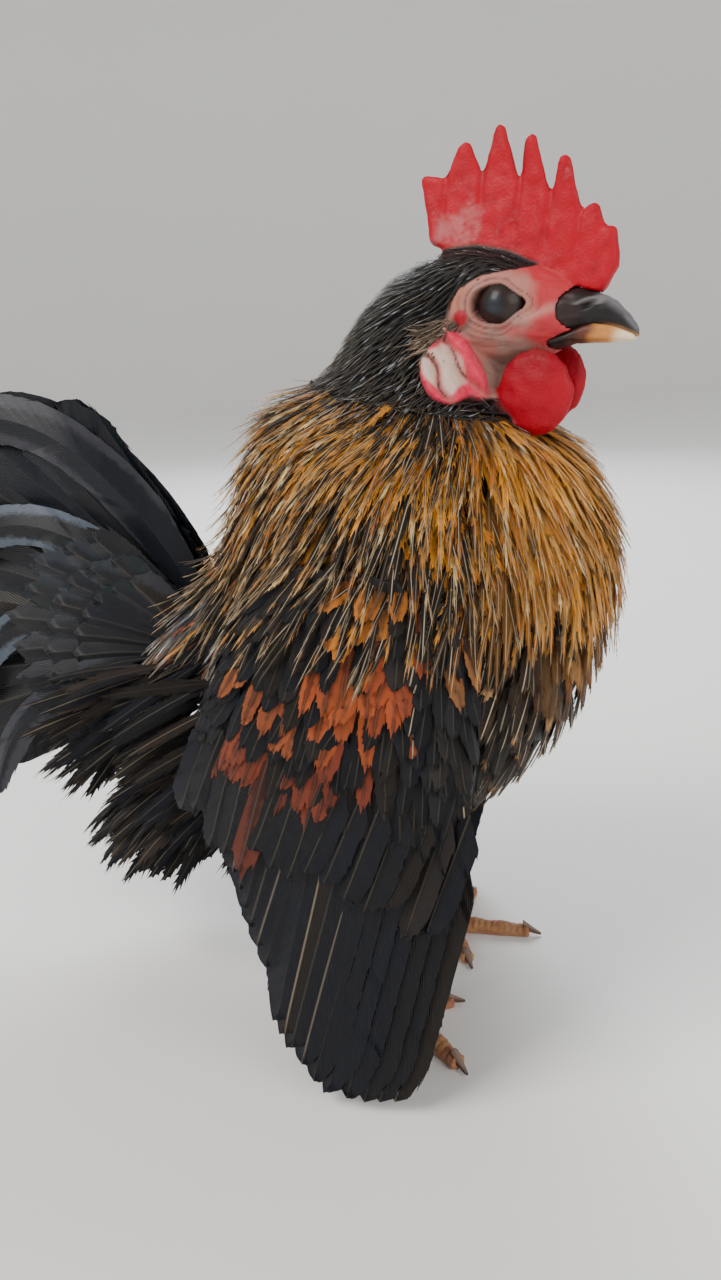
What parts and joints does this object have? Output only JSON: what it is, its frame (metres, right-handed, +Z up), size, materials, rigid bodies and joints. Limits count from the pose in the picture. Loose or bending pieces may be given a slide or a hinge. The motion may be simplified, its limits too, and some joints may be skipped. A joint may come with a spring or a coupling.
{
  "type": "serama rooster model",
  "caption": "Small upright rooster standing on two feet, with a high comb, full hackle, drooped wings and a raised fan tail.",
  "frame": {"origin": "on the floor, under the middle of the bird's outline seen from above", "axes": "+X forward from tail to beak, +Y to the bird's left, +Z up"},
  "size_m": [0.235, 0.1222, 0.2207],
  "materials": {
    "face_skin": "bare pinkish face skin, redder towards the beak, matt with fine folds",
    "comb_skin": "bright red comb skin, finely pebbled, satin",
    "wattle_skin": "bright red wattle skin, finely pebbled, satin",
    "earlobe_skin": "pink-rimmed cream earlobe skin in soft folds",
    "beak_horn": "black-brown horn, smooth and slightly glossy",
    "beak_pale": "orange to cream horn, smooth and slightly glossy",
    "claw_horn": "dark brown horn",
    "eye_ball": "dark brown wet eye",
    "ear_feather": "short bristly pale brown feathers",
    "neck_feather": "glossy black feathers with blue-white sheen",
    "hackle_feather": "golden orange pointed feathers with black middles and straw tips",
    "body_flesh": "dark feathered body, gold over the breast",
    "saddle_feather": "pointed crimson, orange and dark feathers with pale sheen",
    "fluff_feather": "soft brown-black down",
    "wing_feather": "black feathers with mahogany and orange patches",
    "quill_feather": "blue-black flight feathers",
    "thigh_flesh": "dark feathered thigh",
    "leg_skin": "yellow-brown scaled skin with pink between the scales",
    "tail_feather": "black feathers with blue-grey and green sheen",
    "back_feather": "dark feathers over the back and rump"
  },
  "bodies": {
    "root": {"beak_lower": "beak_pale", "beak_upper": "beak_horn", "cape": "hackle_feather", "claw_hind_left": "claw_horn", "claw_hind_right": "claw_horn", "claw_inner_left": "claw_horn", "claw_inner_right": "claw_horn", "claw_middle_left": "claw_horn", "claw_middle_right": "claw_horn", "claw_outer_left": "claw_horn", "claw_outer_right": "claw_horn", "comb": "comb_skin", "ear_left": "ear_feather", "ear_right": "ear_feather", "earlobe_left": "earlobe_skin", "earlobe_right": "earlobe_skin", "eye_left": "eye_ball", "eye_right": "eye_ball", "foot_left": "leg_skin", "foot_right": "leg_skin", "head": "face_skin", "neck": "neck_feather", "primaries_left": "quill_feather", "primaries_right": "quill_feather", "saddle": "saddle_feather", "secondaries_left": "quill_feather", "secondaries_right": "quill_feather", "shank_left": "leg_skin", "shank_right": "leg_skin", "sickle_main_left": "tail_feather", "sickle_main_right": "tail_feather", "sickle_second_left": "tail_feather", "sickle_second_right": "tail_feather", "sickle_third_left": "tail_feather", "sickle_third_right": "tail_feather", "tail_coverts_left": "tail_feather", "tail_coverts_right": "tail_feather", "tail_feathers_left": "tail_feather", "tail_feathers_right": "tail_feather", "tail_hanger_left": "tail_feather", "tail_hanger_right": "tail_feather", "thigh_left": "thigh_flesh", "thigh_right": "thigh_flesh", "trunk_back": "back_feather", "trunk_breast": "body_flesh", "vent_fluff": "fluff_feather", "wattle_left": "wattle_skin", "wattle_right": "wattle_skin", "wing_coverts_left": "wing_feather", "wing_coverts_right": "wing_feather"}
  },
  "joints": []
}
